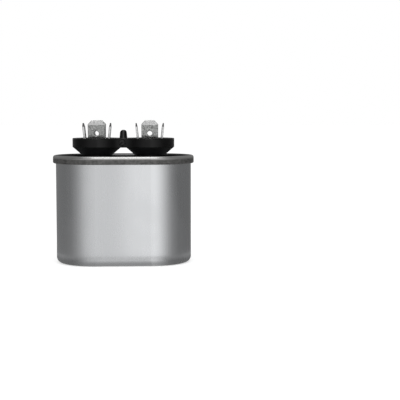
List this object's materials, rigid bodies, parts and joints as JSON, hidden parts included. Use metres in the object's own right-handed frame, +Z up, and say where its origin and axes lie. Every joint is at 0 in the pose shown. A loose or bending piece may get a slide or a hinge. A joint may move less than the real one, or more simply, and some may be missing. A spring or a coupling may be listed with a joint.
{
  "type": "motor run capacitor",
  "caption": "Oval metal-can motor run capacitor with a double-seamed cover and bladed quick-connect terminals in a black moulded insulator.",
  "frame": {"origin": "middle of the can's flat underside", "axes": "+X along the oval from the left-hand terminal to the right-hand one, +Y to the back, +Z up towards the terminals"},
  "size_m": [0.054, 0.0334, 0.0545],
  "materials": {
    "can_metal": "satin, drawn",
    "cover_metal": "tin-plated, satin",
    "compound": "matt",
    "insulator_plastic": "semi-gloss, moulded",
    "film": "wound metallised film",
    "core_plastic": "matt",
    "spray_metal": "sprayed, rough",
    "wrap_film": "clear film",
    "liner_plastic": "matt",
    "lead_metal": "tinned",
    "sleeve_plastic": "matt",
    "terminal_metal": "tin-plated, tumbled",
    "rivet_metal": "tin-plated, peened",
    "gasket_rubber": "matt",
    "washer_board": "matt laminate"
  },
  "bodies": {
    "root": {"bottom_pad": "liner_plastic", "can": "can_metal", "can_liner": "liner_plastic", "cover": "cover_metal", "element": "film", "element_wrap": "wrap_film", "end_spray_bottom": "spray_metal", "end_spray_top": "spray_metal", "gasket_left": "gasket_rubber", "gasket_right": "gasket_rubber", "inner_washer_left": "washer_board", "inner_washer_right": "washer_board", "lead_bottom": "lead_metal", "lead_sleeve": "sleeve_plastic", "lead_top": "lead_metal", "lug_left": "lead_metal", "lug_right": "lead_metal", "rivet_left": "rivet_metal", "rivet_right": "rivet_metal", "seam_compound": "compound", "terminal_insulator": "insulator_plastic", "terminal_left": "terminal_metal", "terminal_right": "terminal_metal", "top_spacer": "liner_plastic", "winding_core": "core_plastic"}
  },
  "joints": []
}
